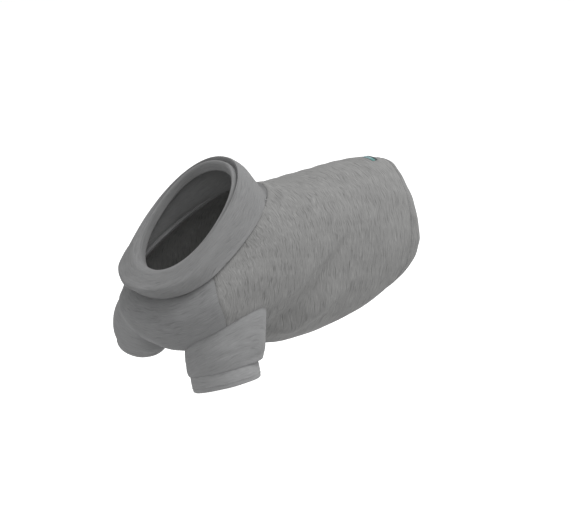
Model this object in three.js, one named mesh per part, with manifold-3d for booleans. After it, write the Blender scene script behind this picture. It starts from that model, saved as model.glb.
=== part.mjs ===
// Dog hoodie in brushed fleece, shaped as it sits when worn, with its hood folded down round the neck.
// Millimetres, +Z up. The dog faces -Y and its left side is +X. The origin is on the inside of the back,
// in the middle of the neck seam.

import * as THREE from 'three';
import Module from 'manifold-3d';

// Body
const BACK_LENGTH = 336; // neck seam to hem, along the back
const CHEST_DEPTH = 290; // back line down to the brisket
const CHEST_WIDTH = 238; // widest place, behind the shoulders
const WALL = 2.6; // brushed fleece
const GAP = 0.35; // left open between neighbouring pieces

// Hood, measured from the neck seam
const HOOD_BACK = 92; // rise behind the neck
const HOOD_FRONT = 36; // rise under the throat

// Sleeves
const SLEEVE_LEFT_WIDTH = 124; // length of the left cuff's opening, front to back
const SLEEVE_RIGHT_WIDTH = 97;
const CUFF_HEIGHT = 27;
const CUFF_WALL = 3; // doubled cloth
const CUFF_SWELL = 0.8;
const SLEEVE_EASE = 6; // how far a sleeve stands out all round
const SLEEVE_PUFF = 13; // how far more the right sleeve's front stands out
const FRONT_SHARE = 0.4; // how far round to the inside that fullness goes, as a share of a quarter

// Label
const LABEL_LENGTH = 24;
const LABEL_WIDTH = 14;
const LABEL_WALL = 1;
const LABEL_AT = 0.77; // share of the way from neck seam to hem
const LABEL_TURN = 6; // degrees to the left of the middle of the back

const FULL = 2 * Math.PI;
const DEGREE = Math.PI / 180;
const wasm = await Module();
wasm.setup();

// Rings of the body, neck to hem. Y is a share of BACK_LENGTH and Z of CHEST_DEPTH, for the top and the
// bottom point of each ring. half is a share of half of CHEST_WIDTH, mid is how far down the widest place
// is, full fills out the corners and arch draws the quarters forward.
const BODY = [
  { at: 0, topY: 0, topZ: 0, lowY: -0.729, lowZ: -0.545, half: 0.762, mid: 0.7, full: 2.2, arch: 0 },
  { at: 0.15, topY: 0.149, topZ: -0.022, lowY: -0.783, lowZ: -0.693, half: 0.963, mid: 0.67, full: 2.58, arch: 0 },
  { at: 0.3, topY: 0.304, topZ: -0.006, lowY: -0.652, lowZ: -0.867, half: 1, mid: 0.57, full: 2.45, arch: 0 },
  { at: 0.45, topY: 0.47, topZ: 0.024, lowY: -0.342, lowZ: -0.927, half: 0.988, mid: 0.55, full: 2.08, arch: 0 },
  { at: 0.62, topY: 0.655, topZ: 0.04, lowY: 0.084, lowZ: -1, half: 0.947, mid: 0.54, full: 2.26, arch: 0 },
  { at: 0.8, topY: 0.85, topZ: 0.046, lowY: 0.548, lowZ: -0.955, half: 0.899, mid: 0.57, full: 2.28, arch: 0.008 },
  { at: 1, topY: 0.982, topZ: 0.018, lowY: 0.962, lowZ: -0.828, half: 0.82, mid: 0.58, full: 1.86, arch: 0.018 },
];

// Side seam between the back and the chest panel, as the turn from the top in degrees at each share of
// the length. It meets the armhole, and behind it runs along the belly.
const SIDE_SEAM = [
  { at: 0, turn: 96.7 },
  { at: 0.13, turn: 100 },
  { at: 0.26, turn: 115.3 },
  { at: 0.36, turn: 138 },
  { at: 0.48, turn: 155 },
  { at: 0.7, turn: 160 },
  { at: 1, turn: 162 },
];

// Folds of the body, each a soft line from one place to another. depth and width are shares of
// CHEST_WIDTH, a depth below nought is a ridge.
const FOLDS = [
  { at: 0.465, turn: 146, toAt: 0.515, toTurn: 116, depth: 0.03, width: 0.07 },
  { at: 0.505, turn: 126, toAt: 0.555, toTurn: 72, depth: 0.032, width: 0.055 },
  { at: 0.4, turn: 117, toAt: 0.5, toTurn: 102, depth: 0.016, width: 0.05 },
  { at: 0.54, turn: 134, toAt: 0.68, toTurn: 92, depth: -0.017, width: 0.06 },
  { at: 0.46, turn: 222, toAt: 0.6, toTurn: 262, depth: 0.026, width: 0.08 },
  { at: 0.13, turn: 168, toAt: 0.2, toTurn: 186, depth: 0.01, width: 0.06 },
];

// Rings of the hood, neck seam to the edge inside. backIn and backUp are shares of HOOD_BACK and lowIn
// and lowUp of HOOD_FRONT, measured from the seam inwards and upwards, half is a share of half the
// neck seam's width. The rows from 0.7 to 0.92 are the outer roll, the crease in it and the edge of the hood.
const HOOD = [
  { at: 0, backIn: 0.029, backUp: 0, lowIn: 0.07, lowUp: 0, half: 0.975, mid: 0.7, full: 2.2 },
  { at: 0.05, backIn: 0.13, backUp: 0.01, lowIn: -0.06, lowUp: 0.01, half: 1.07, mid: 0.67, full: 2.2 },
  { at: 0.13, backIn: 0.145, backUp: 0.11, lowIn: -0.15, lowUp: 0.2, half: 1.06, mid: 0.68, full: 2.2 },
  { at: 0.34, backIn: 0.187, backUp: 0.38, lowIn: -0.4, lowUp: 0.78, half: 1.063, mid: 0.69, full: 2.2 },
  { at: 0.56, backIn: 0.257, backUp: 0.68, lowIn: -0.02, lowUp: 0.9, half: 1.021, mid: 0.63, full: 2.2 },
  { at: 0.7, backIn: 0.354, backUp: 0.89, lowIn: 0.42, lowUp: 0.99, half: 0.982, mid: 0.57, full: 2.2 },
  { at: 0.75, backIn: 0.396, backUp: 0.935, lowIn: 0.549, lowUp: 1.01, half: 0.959, mid: 0.55, full: 2.2 },
  { at: 0.79, backIn: 0.423, backUp: 0.905, lowIn: 0.635, lowUp: 1, half: 0.935, mid: 0.53, full: 2.2 },
  { at: 0.83, backIn: 0.455, backUp: 0.85, lowIn: 0.71, lowUp: 0.985, half: 0.915, mid: 0.52, full: 2.2 },
  { at: 0.88, backIn: 0.49, backUp: 0.905, lowIn: 0.8, lowUp: 0.94, half: 0.89, mid: 0.51, full: 2.2 },
  { at: 0.92, backIn: 0.535, backUp: 0.95, lowIn: 0.88, lowUp: 0.87, half: 0.865, mid: 0.5, full: 2.2 },
  { at: 0.96, backIn: 0.585, backUp: 0.91, lowIn: 0.95, lowUp: 0.75, half: 0.84, mid: 0.5, full: 2.2 },
  { at: 1, backIn: 0.605, backUp: 0.77, lowIn: 0.98, lowUp: 0.45, half: 0.83, mid: 0.5, full: 2.2 },
];

// Where the mesh has a ring, for each main form, and how many columns
const BODY_STEPS = 19;
const BACK_COLUMNS = 38;
const CHEST_COLUMNS = 14;
const HOOD_COLUMNS = 40;
const SLEEVE_COLUMNS = 30;
const HOOD_RINGS = [0, 0.04, 0.08, 0.14, 0.24, 0.37, 0.5, 0.62, 0.7, 0.75, 0.79, 0.83, 0.88, 0.92, 0.96, 1];
const CUFF_RINGS = [0, 0.15, 0.85, 1];
const SLEEVE_RINGS = [0, 0.05, 0.14, 0.28, 0.44, 0.6, 0.74, 0.86, 0.94, 0.975, 1];

// Each armhole is an oval round a place on the body, this far up and down in degrees
const ARMHOLE_ROUND = 29;

// Each sleeve. at and turn are the middle of its armhole on the body and long its reach along it, then
// comes the middle of its cuff seam: x is a share of half of CHEST_WIDTH, y of BACK_LENGTH and z of
// CHEST_DEPTH. narrow is its width across as a share of its length, outer and rear are how steeply the
// cuff rises that way, puff how full it is, overhang how far it stands out over the cuff and rearOver
// how much further it does behind.
const LEFT = {
  side: 1, at: 0.347, turn: 136, long: 0.076, x: 0.602, y: -0.432, z: -0.982,
  size: SLEEVE_LEFT_WIDTH, narrow: 0.76, outer: 0.3, rear: 0.01, puff: 0.5, overhang: 2, rearOver: 9,
};
const RIGHT = {
  side: -1, at: 0.262, turn: 133, long: 0.113, x: 0.87, y: -0.524, z: -0.85,
  size: SLEEVE_RIGHT_WIDTH, narrow: 0.83, outer: 0.5, rear: 0.16, puff: 1.4, overhang: 4, rearOver: 0,
};

const point = (x, y, z) => new THREE.Vector3(x, y, z);
const add = (p, direction, length) => p.clone().addScaledVector(direction, length);
const between = (p, q) => q.clone().sub(p);

// A smooth run through one column of a table, at a share of the way
function along(rows, column, at) {
  let i = 0;
  while (i < rows.length - 2 && at > rows[i + 1].at) i += 1;
  const slope = (k) => {
    const before = rows[Math.max(k - 1, 0)];
    const after = rows[Math.min(k + 1, rows.length - 1)];
    return (after[column] - before[column]) / (after.at - before.at);
  };
  const span = rows[i + 1].at - rows[i].at;
  const x = (at - rows[i].at) / span;
  return hermite(rows[i][column], slope(i) * span, rows[i + 1][column], slope(i + 1) * span, x);
}

// A cubic from one value and slope to another
function hermite(start, startSlope, end, endSlope, x) {
  const rise = x * x * (3 - 2 * x);
  return start * (1 - rise) + end * rise + startSlope * x * (1 - x) ** 2 - endSlope * x * x * (1 - x);
}

// A point of an oval ring that leans in the plane of the spine, from its top and bottom points
function onRing(top, low, half, mid, full, angle) {
  const c = Math.cos(angle);
  const s = Math.sin(angle);
  const across = Math.sign(s) * Math.abs(s) ** (2 / full);
  const down = Math.sign(c) * Math.abs(c) ** (2 / full) * (c > 0 ? mid : 1 - mid);
  const p = top.clone().lerp(low, mid).addScaledVector(between(low, top), down);
  p.x += half * across;
  return p;
}

// The fold depth at a place on the body
function foldDepth(at, turn) {
  const toLength = (CHEST_WIDTH / 2) * DEGREE;
  return FOLDS.reduce((sum, fold) => {
    const from = (a, b) => new THREE.Vector2((a - fold.at) * BACK_LENGTH, (b - fold.turn) * toLength);
    const line = from(fold.toAt, fold.toTurn);
    const here = from(at, turn);
    const share = THREE.MathUtils.clamp(here.dot(line) / line.lengthSq(), 0, 1);
    const away = here.addScaledVector(line, -share).length() / (fold.width * CHEST_WIDTH);
    return sum + fold.depth * CHEST_WIDTH * (1 - share * share * share) * Math.exp(-away * away);
  }, 0);
}

// The outside of the body
function body(at, angle) {
  const get = (column) => along(BODY, column, at);
  const top = point(0, get('topY') * BACK_LENGTH, WALL + get('topZ') * CHEST_DEPTH);
  const low = point(0, get('lowY') * BACK_LENGTH, WALL + get('lowZ') * CHEST_DEPTH);
  const half = (get('half') * CHEST_WIDTH) / 2;
  const p = onRing(top, low, half, get('mid'), get('full'), angle);
  p.y -= get('arch') * BACK_LENGTH * Math.sin(2 * angle) ** 2;
  const inward = between(p, top.lerp(low, get('mid'))).normalize();
  return p.addScaledVector(inward, foldDepth(at, angle / DEGREE));
}

// The outward direction of a surface given by two shares, by small steps on it
function facing(surface, u, v, step) {
  const alongU = between(surface(u - step, v), surface(u + step, v));
  const alongV = between(surface(u, v - step), surface(u, v + step));
  return alongV.cross(alongU).normalize();
}
const bodyFacing = (at, angle) => {
  const step = 0.004;
  return facing(body, Math.min(Math.max(at, step), 1 - step), angle, step);
};

// A solid from two grids of the same size, an outer and an inner one, joined round their edges
function solid(outer, inner, closed) {
  const rows = outer.length;
  const columns = outer[0].length;
  const positions = [...outer.flat(), ...inner.flat()].flatMap((p) => p.toArray());
  const out = (i, j) => i * columns + (j % columns);
  const back = (i, j) => rows * columns + out(i, j);
  const faces = [];
  const quad = (a, b, c, d) => faces.push(a, b, c, a, c, d);
  const last = closed ? columns : columns - 1;
  for (let i = 0; i < rows - 1; i += 1) {
    for (let j = 0; j < last; j += 1) {
      quad(out(i, j), out(i, j + 1), out(i + 1, j + 1), out(i + 1, j));
      quad(back(i, j), back(i + 1, j), back(i + 1, j + 1), back(i, j + 1));
    }
    if (!closed) {
      quad(out(i, 0), out(i + 1, 0), back(i + 1, 0), back(i, 0));
      quad(out(i, last), back(i, last), back(i + 1, last), out(i + 1, last));
    }
  }
  for (let j = 0; j < last; j += 1) {
    quad(out(0, j), back(0, j), back(0, j + 1), out(0, j + 1));
    quad(out(rows - 1, j), out(rows - 1, j + 1), back(rows - 1, j + 1), back(rows - 1, j));
  }
  const geometry = new THREE.BufferGeometry();
  geometry.setAttribute('position', new THREE.Float32BufferAttribute(positions, 3));
  geometry.setIndex(faces);
  return geometry;
}

// A capped solid through closed rings
function plug(rings) {
  const columns = rings[0].length;
  const middle = (ring) => ring.reduce((sum, p) => sum.add(p), point(0, 0, 0)).divideScalar(columns);
  const points = [...rings.flat(), middle(rings[0]), middle(rings[rings.length - 1])];
  const faces = [];
  const at = (i, j) => i * columns + (j % columns);
  for (let j = 0; j < columns; j += 1) {
    for (let i = 0; i < rings.length - 1; i += 1) {
      faces.push(at(i, j), at(i, j + 1), at(i + 1, j + 1), at(i, j), at(i + 1, j + 1), at(i + 1, j));
    }
    faces.push(points.length - 2, at(0, j + 1), at(0, j));
    faces.push(points.length - 1, at(rings.length - 1, j), at(rings.length - 1, j + 1));
  }
  const geometry = new THREE.BufferGeometry();
  const positions = points.flatMap((p) => p.toArray());
  geometry.setAttribute('position', new THREE.Float32BufferAttribute(positions, 3));
  geometry.setIndex(faces);
  return geometry;
}

const range = (count) => Array.from({ length: count }, (_, i) => i);
const grid = (us, vs, surface) => us.map((u) => vs.map((v) => surface(u, v)));
const around = (count) => range(count).map((j) => (j / count) * FULL);

const toManifold = (geometry) => new wasm.Manifold(new wasm.Mesh({
  numProp: 3,
  vertProperties: new Float32Array(geometry.getAttribute('position').array),
  triVerts: new Uint32Array(geometry.getIndex().array),
}));

function fromManifold(shape) {
  const mesh = shape.getMesh();
  const geometry = new THREE.BufferGeometry();
  geometry.setAttribute('position', new THREE.BufferAttribute(mesh.vertProperties, 3));
  geometry.setIndex(new THREE.BufferAttribute(mesh.triVerts, 1));
  return geometry;
}

// A panel of the body between two seams, cut short by a gap at each
function panel(fromTurn, toTurn, columns) {
  const place = (i, share) => {
    const at = i / BODY_STEPS;
    const start = fromTurn(at) * DEGREE;
    const end = toTurn(at) * DEGREE;
    const reach = between(body(at, start), body(at, start + DEGREE)).length() / DEGREE;
    const trim = GAP / reach;
    return [at, start + trim + share * (end - start - 2 * trim)];
  };
  const shares = range(columns + 1).map((j) => j / columns);
  const steps = range(BODY_STEPS + 1);
  return solid(
    grid(steps, shares, (i, share) => body(...place(i, share))),
    grid(steps, shares, (i, share) => add(body(...place(i, share)), bodyFacing(...place(i, share)), -WALL)),
    false,
  );
}

// Where a sleeve leaves the body and the cuff seam that it runs to
function sleeveForm(cuff) {
  const hole = (angle) => {
    const turn = (cuff.turn - ARMHOLE_ROUND * Math.sin(angle)) * DEGREE;
    return [cuff.at + cuff.long * Math.cos(angle), cuff.side > 0 ? turn : FULL - turn];
  };
  const slope = point(-cuff.outer * cuff.side, -cuff.rear, 1).normalize();
  const middle = point((cuff.side * cuff.x * CHEST_WIDTH) / 2, cuff.y * BACK_LENGTH, cuff.z * CHEST_DEPTH);
  const cuffRing = (angle, grow, drop) => {
    const x = cuff.side * ((cuff.size * cuff.narrow) / 2 + grow) * Math.sin(angle);
    const y = (cuff.size / 2 + grow) * Math.cos(angle);
    const z = x * cuff.side * cuff.outer + y * cuff.rear;
    return add(middle.clone().add(point(x, y, z)), slope, -drop);
  };
  return { hole, cuffRing };
}

// A sleeve from the armhole to the cuff seam, and what is cleared from the body for it
function sleeve(cuff, columns) {
  const { hole, cuffRing } = sleeveForm(cuff);
  const start = (angle) => body(...hole(angle));
  const normal = (angle) => bodyFacing(...hole(angle));
  const holeMiddle = body(cuff.at, hole(0)[1]);
  const step = 0.01;
  // Away from the middle of the hole, flat on the body
  const away = (angle) => {
    const edge = between(start(angle - step), start(angle + step)).cross(normal(angle)).normalize();
    return edge.multiplyScalar(Math.sign(edge.dot(between(holeMiddle, start(angle)))));
  };
  const outer = (share, angle) => {
    const p = start(angle);
    const q = cuffRing(angle, 0, 0);
    const run = between(p, q);
    const level = point(cuff.side * Math.sin(angle), Math.cos(angle), 0);
    const front = Math.max(0, -Math.cos(angle)) * Math.max(0, FRONT_SHARE + Math.sin(angle));
    const bulge = Math.min(SLEEVE_EASE + front * cuff.puff * SLEEVE_PUFF, run.length() / 5);
    const leave = run.clone().addScaledVector(level, 3 * bulge);
    const arrive = run.clone().addScaledVector(level, -3 * bulge);
    const over = cuff.overhang + cuff.rearOver * Math.max(0, Math.cos(angle)) ** 2;
    const { smoothstep } = THREE.MathUtils;
    const hang = smoothstep(share, 0.35, 0.9) * (1 - smoothstep(share, 0.95, 1));
    const way = point(...['x', 'y', 'z'].map((k) => hermite(p[k], leave[k], q[k], arrive[k], share)));
    return way.addScaledVector(level, over * hang);
  };
  const skin = (share, angle) => {
    const out = facing(outer, Math.min(Math.max(share, step), 1 - step), angle, step);
    return cuff.side > 0 ? out : out.negate();
  };
  // At the armpit the sleeve starts level with the inside of the body, at the shoulder with its outside
  const sink = (angle) => WALL * (1 - Math.max(0, skin(0, angle).dot(normal(angle))));
  const surface = (share, angle) => {
    const p = outer(share, angle);
    return share === 0 ? add(add(p, normal(angle), -sink(angle)), away(angle), -GAP) : p;
  };
  const inner = (share, angle) => (share === 1 ? cuffRing(angle, -WALL, 0)
    : add(surface(share, angle), skin(share, angle), -WALL));
  const angles = cuff.side > 0 ? around(columns) : around(columns).reverse();
  const shell = solid(grid(SLEEVE_RINGS, angles, surface), grid(SLEEVE_RINGS, angles, inner), true);
  const cutter = plug([
    angles.map((angle) => add(add(surface(0, angle), away(angle), GAP), normal(angle), -3 * WALL)),
    angles.map((angle) => add(surface(0, angle), away(angle), GAP)),
    ...SLEEVE_RINGS.slice(1, -3).map((share) => (
      angles.map((angle) => add(surface(share, angle), skin(share, angle), GAP)))),
  ]);
  return { shell, cutter };
}

function cuffBand(cuff, columns) {
  const { cuffRing } = sleeveForm(cuff);
  const swell = (share) => CUFF_SWELL * Math.sin(share * Math.PI);
  const angles = cuff.side > 0 ? around(columns) : around(columns).reverse();
  const wall = (inset) => grid(CUFF_RINGS, angles, (share, angle) =>
    cuffRing(angle, swell(share) - inset, GAP + share * CUFF_HEIGHT));
  return solid(wall(0), wall(CUFF_WALL), true);
}

// Hood
function hood(at, angle) {
  const get = (column) => along(HOOD, column, at);
  const top = point(0, 0, WALL);
  const low = point(0, BODY[0].lowY * BACK_LENGTH, WALL + BODY[0].lowZ * CHEST_DEPTH);
  const down = between(top, low).normalize();
  const up = point(0, down.z, -down.y);
  top.addScaledVector(down, get('backIn') * HOOD_BACK).addScaledVector(up, GAP + get('backUp') * HOOD_BACK);
  low.addScaledVector(down, -get('lowIn') * HOOD_FRONT).addScaledVector(up, GAP + get('lowUp') * HOOD_FRONT);
  const half = (get('half') * BODY[0].half * CHEST_WIDTH) / 2;
  return onRing(top, low, half, get('mid'), get('full'), angle);
}

function hoodShell(columns) {
  const step = 0.006;
  const skin = (at, angle) => facing(hood, Math.min(Math.max(at, step), 1 - step), angle, step).negate();
  const rings = [...HOOD_RINGS].reverse();
  return solid(
    grid(rings, around(columns), hood),
    grid(rings, around(columns), (at, angle) => add(hood(at, angle), skin(at, angle), -WALL)),
    true,
  );
}

// Label, sewn flat on the back in front of the hem
function label() {
  const halfTurn = LABEL_LENGTH / CHEST_WIDTH;
  const halfAt = LABEL_WIDTH / 2 / BACK_LENGTH;
  const rows = [-1, 0, 1].map((k) => LABEL_AT + k * halfAt);
  const columns = range(9).map((k) => LABEL_TURN * DEGREE + (k / 4 - 1) * halfTurn);
  const lift = (height) => grid(rows, columns, (u, v) => add(body(u, v), bodyFacing(u, v), height));
  return solid(lift(2 * GAP + LABEL_WALL), lift(2 * GAP), false);
}

// Colours and roughness
const GREY = { body: '#8b8c8e', chest: '#77787a', hood: '#8e8f91', sleeve: '#858688', cuff: '#828385' };
const TEAL = '#2fa9b5';
const FLEECE = 0.95;
const TAPE = 0.6;

const group = new THREE.Group();
function piece(name, geometry, color, roughness) {
  geometry.computeVertexNormals();
  const material = new THREE.MeshStandardMaterial({ color, roughness, metalness: 0 });
  material.name = name;
  const mesh = new THREE.Mesh(geometry, material);
  mesh.name = name;
  group.add(mesh);
}

const seam = (at) => along(SIDE_SEAM, 'turn', at);
const left = sleeve(LEFT, SLEEVE_COLUMNS);
const right = sleeve(RIGHT, SLEEVE_COLUMNS);
// The largest body that is left, without the slivers at the armholes
function cut(geometry) {
  const rest = toManifold(geometry).subtract(toManifold(left.cutter)).subtract(toManifold(right.cutter));
  return fromManifold(rest.decompose().sort((a, b) => b.volume() - a.volume())[0]);
}

piece('back_panel', cut(panel((at) => -seam(at), seam, BACK_COLUMNS)), GREY.body, FLEECE);
piece('chest_panel', cut(panel(seam, (at) => 360 - seam(at), CHEST_COLUMNS)), GREY.chest, FLEECE);
piece('hood', hoodShell(HOOD_COLUMNS), GREY.hood, FLEECE);
piece('sleeve_left', left.shell, GREY.sleeve, FLEECE);
piece('sleeve_right', right.shell, GREY.sleeve, FLEECE);
piece('cuff_left', cuffBand(LEFT, SLEEVE_COLUMNS), GREY.cuff, FLEECE);
piece('cuff_right', cuffBand(RIGHT, SLEEVE_COLUMNS), GREY.cuff, FLEECE);
piece('label_tab', label(), TEAL, TAPE);

export default group;
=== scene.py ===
"""Dog hoodie in heather grey fleece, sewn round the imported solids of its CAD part.

Metres, +Z up. The garment faces -Y and its left side is +X. Blender 4.5.
"""

import math

import bmesh
import bpy
import numpy as np
from mathutils import Matrix, Vector


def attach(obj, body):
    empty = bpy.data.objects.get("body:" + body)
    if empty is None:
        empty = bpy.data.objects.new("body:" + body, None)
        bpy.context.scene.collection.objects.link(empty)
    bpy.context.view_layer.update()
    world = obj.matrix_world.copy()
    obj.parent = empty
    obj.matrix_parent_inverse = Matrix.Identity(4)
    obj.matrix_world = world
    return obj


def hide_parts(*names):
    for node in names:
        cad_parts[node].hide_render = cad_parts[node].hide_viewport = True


bl_info = {
    "name": "Dog Hoodie",
    "version": (1, 0, 0),
    "blender": (4, 5, 0),
    "location": "View3D > Sidebar > Hoodie",
    "description": "Sews a fleece dog hoodie from its sizes, with its stitching and heather grey cloth",
    "category": "Add Mesh",
}

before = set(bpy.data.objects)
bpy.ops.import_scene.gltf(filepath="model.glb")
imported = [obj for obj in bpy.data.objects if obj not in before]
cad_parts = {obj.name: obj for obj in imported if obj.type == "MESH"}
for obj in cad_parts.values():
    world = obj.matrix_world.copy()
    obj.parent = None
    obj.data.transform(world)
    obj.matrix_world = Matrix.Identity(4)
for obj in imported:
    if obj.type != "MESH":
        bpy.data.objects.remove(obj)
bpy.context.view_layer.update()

DEGREE = math.pi / 180
GAP = 0.00035  # left open between neighbouring pieces
SEAM_GAP = 0.00005  # left open between the two panels of the body
CRISP = 50 * DEGREE  # an edge sharper than this isn't shaded smooth


def table(columns, *rows):
    """The rows of a table, each by the names of its columns."""
    names = columns.split()
    return [dict(zip(names, row)) for row in rows]


# Rings of the body, neck to hem. Y is a share of the back length and Z of the chest depth, for the top and
# the bottom point of each ring. half is a share of half the chest width, mid is how far down the widest
# place is, full fills out the corners and arch draws the quarters forward.
BODY = table(
    "at    top_y  top_z   low_y   low_z   half   mid   full  arch",
    (0,    0,     0,      -0.729, -0.545, 0.762, 0.7,  2.2,  0),
    (0.15, 0.149, -0.022, -0.783, -0.693, 0.963, 0.67, 2.58, 0),
    (0.3,  0.304, -0.006, -0.652, -0.867, 1,     0.57, 2.45, 0),
    (0.45, 0.47,  0.024,  -0.342, -0.927, 0.988, 0.55, 2.08, 0),
    (0.62, 0.655, 0.04,   0.084,  -1,     0.947, 0.54, 2.26, 0),
    (0.8,  0.85,  0.046,  0.548,  -0.955, 0.899, 0.57, 2.28, 0.008),
    (1,    0.982, 0.018,  0.962,  -0.828, 0.82,  0.58, 1.86, 0.018),
)

# Side seam between the back and the chest panel: the turn from the top in degrees at each share of the length
SIDE_SEAM = table(
    "at    turn",
    (0,    96.7),
    (0.13, 100),
    (0.26, 115.3),
    (0.36, 138),
    (0.48, 155),
    (0.7,  160),
    (1,    162),
)

# Folds of the body, which its solids have too, each a soft line from one place to another. depth and width
# are shares of the chest width, and a depth below nought is a ridge.
FOLDS = table(
    "at     turn  to_at  to_turn  depth   width",
    (0.465, 146,  0.515, 116,     0.03,   0.07),
    (0.505, 126,  0.555, 72,      0.032,  0.055),
    (0.4,   117,  0.5,   102,     0.016,  0.05),
    (0.54,  134,  0.68,  92,      -0.017, 0.06),
    (0.46,  222,  0.6,   262,     0.026,  0.08),
    (0.13,  168,  0.2,   186,     0.01,   0.06),
)

# Creases of the cloth, which come on top of the folds
CREASES = table(
    "at     turn  to_at  to_turn  depth   width",
    (0.497, 140,  0.497, 84,      0.024,  0.036),
    (0.5,   92,   0.6,   62,      0.011,  0.034),
    (0.56,  136,  0.6,   88,      -0.016, 0.04),
    (0.415, 113,  0.5,   104,     0.007,  0.02),
    (0.62,  128,  0.68,  100,     0.008,  0.034),
    (0.47,  226,  0.6,   240,     0.008,  0.022),
    (0.095, 167,  0.125, 176,     0.006,  0.016),
    (0.095, 167,  0.125, 156,     0.006,  0.016),
)

# Rings of the hood, neck seam to the edge inside. back_in and back_up are shares of the rise behind the
# neck and low_in and low_up of the rise under the throat, measured from the seam inwards and upwards, half
# is a share of half the neck seam's width. The outer roll, the crease in it and the edge come last.
HOOD = table(
    "at    back_in  back_up  low_in  low_up  half   mid   full",
    (0,    0.029,   0,       0.07,   0,      0.975, 0.7,  2.2),
    (0.05, 0.13,    0.01,    -0.06,  0.01,   1.07,  0.67, 2.2),
    (0.13, 0.145,   0.11,    -0.15,  0.2,    1.06,  0.68, 2.2),
    (0.34, 0.187,   0.38,    -0.4,   0.78,   1.063, 0.69, 2.2),
    (0.56, 0.257,   0.68,    -0.02,  0.9,    1.021, 0.63, 2.2),
    (0.7,  0.354,   0.89,    0.42,   0.99,   0.982, 0.57, 2.2),
    (0.75, 0.396,   0.935,   0.549,  1.01,   0.959, 0.55, 2.2),
    (0.79, 0.423,   0.905,   0.635,  1,      0.935, 0.53, 2.2),
    (0.83, 0.455,   0.85,    0.71,   0.985,  0.915, 0.52, 2.2),
    (0.88, 0.49,    0.905,   0.8,    0.94,   0.89,  0.51, 2.2),
    (0.92, 0.535,   0.95,    0.88,   0.87,   0.865, 0.5,  2.2),
    (0.96, 0.585,   0.91,    0.95,   0.75,   0.84,  0.5,  2.2),
    (1,    0.605,   0.77,    0.98,   0.45,   0.83,  0.5,  2.2),
)

# Creases of the hood: at is the share from neck seam to edge, turn the degrees from the top
HOOD_CREASES = table(
    "at    turn  to_at  to_turn  depth   width",
    (0.3,  150,  0.2,   196,     0.0022, 0.05),
    (0.46, 118,  0.3,   150,     0.0014, 0.06),
    (0.35, 210,  0.24,  250,     0.002,  0.06),
)

# Middle of the label: its share of the way from neck seam to hem, and its degrees to the left of the top
LABEL_AT = 0.77
LABEL_TURN = 6

# Each armhole is an oval round a place on the body, this far up and down in degrees
ARMHOLE_ROUND = 29

# Each sleeve. at and turn are the middle of its armhole on the body and long its reach along it, then comes the
# middle of its cuff seam: x is a share of half the chest width, y of the back length and z of the chest depth.
# narrow is its width across as a share of its length, outer and rear are how steeply the cuff rises that way,
# puff how full it is, overhang how far it stands out over the cuff, rear_over how much further it does behind
# and droop how far it hangs below the cuff seam.
LEFT, RIGHT = table(
    "side  at     turn  long   x      y       z       narrow  outer  rear  puff  overhang  rear_over  droop",
    (1,    0.347, 136,  0.076, 0.602, -0.432, -0.982, 0.76,   0.3,   0.01, 0.5,  0.002,    0.009,     0.003),
    (-1,   0.262, 133,  0.113, 0.87,  -0.524, -0.85,  0.83,   0.5,   0.16, 1.4,  0.004,    0,         0.0125),
)

# Wrinkles of the sleeves: share is the way from armhole to cuff, turn the degrees from the rear
SLEEVE_CREASES = table(
    "share  turn  to_share  to_turn  depth   width",
    (0.3,   100,  0.42,     50,      0.0012, 0.06),
    (0.62,  140,  0.7,      70,      0.001,  0.06),
    (0.5,   170,  0.8,      200,     0.0014, 0.06),
    (0.82,  40,   0.88,     100,     0.0012, 0.05),
)

# Where a sleeve's overhang, its droop and the waves start, are whole, start to go and are gone, as shares of
# the way, and how much of the sleeve rolls into the armhole seam
OVERHANG = (0.15, 0.9, 0.93, 1.0)
DROOP = (0.5, 0.955, 0.965, 1.0)
SLEEVE_WAVES = (0, 0.15, 0.93, 1)
HOOD_WAVES = (0.02, 0.2, 0.6, 0.75)
ROLLED_IN = 0.05

# Relief of the sewn cloth in metres: the depth and width of a groove, how far beside it the cloth rises, and
# the height and width of that rise
SIDE_GROOVE, SIDE_BESIDE, SIDE_RISE = (0.0011, 0.0022), 0.005, (0.0005, 0.0028)
ARMHOLE_GROOVE, ARMHOLE_BESIDE, ARMHOLE_RISE = (0.0009, 0.0028), 0.0065, (0.0004, 0.0035)
ARMHOLE_SINK = 0.0007
HEM_GROOVE, HEM_EDGE, HEM_RISE = (0.0005, 0.0016), (0.0006, 0.003), 0.0007
NECK_TUCK, NECK_TUCK_TURNS = (0.0028, 0.008), (100, 150)  # the body is drawn in below the hood
SIDE_REACH = 1.15  # how much longer a degree is at the side seams
BODY_WAVE, WAVE = 0.0009, 0.0008

# What the soft waves take a piece to measure: metres along it, and metres round it for each degree
HOOD_SPAN, SLEEVE_SPAN, CUFF_SPAN = (0.13, 0.0017), (0.09, 0.001), (0.026, 0.001)

# How far the label's underside, its edge and its middle stand off the cloth
LABEL_UNDER, LABEL_EDGE, LABEL_MIDDLE = 0.0004, 0.0009, 0.0009

# Rows of stitches: how far the two of the hem are below its upper edge, how far a cuff's is above its lower
# edge and off its middle, and where the label's is, as shares of half its length and half its width
HEM_ROWS = (0.0012, 0.0058)
CUFF_ROW, CUFF_ROW_OUT = 0.006, 0.0009
LABEL_ROW = (0.93, 0.82)

# Camera: the picture's size and the focal length in pixels, how far away it stands, and the pixel in which
# it sees the top of the neck seam
PICTURE = (575, 522)
FOCAL = 1150
CAMERA_AWAY = 2.0
NECK_SEEN = (258, 182)

# Lights: where each stands, what it is aimed at, its size and its power
LIGHTS = {
    "key": ((1.0, 0.7, 2.4), (0, 0, -0.1), 1.4, 34),
    "fill": ((1.8, -2.2, 1.2), (0, 0, -0.1), 2.2, 8),
    "low": ((1.5, 1.3, -0.1), (0.05, 0.1, -0.2), 0.9, 4.5),
}


# ---------------------------------------------------------------- settings

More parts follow.
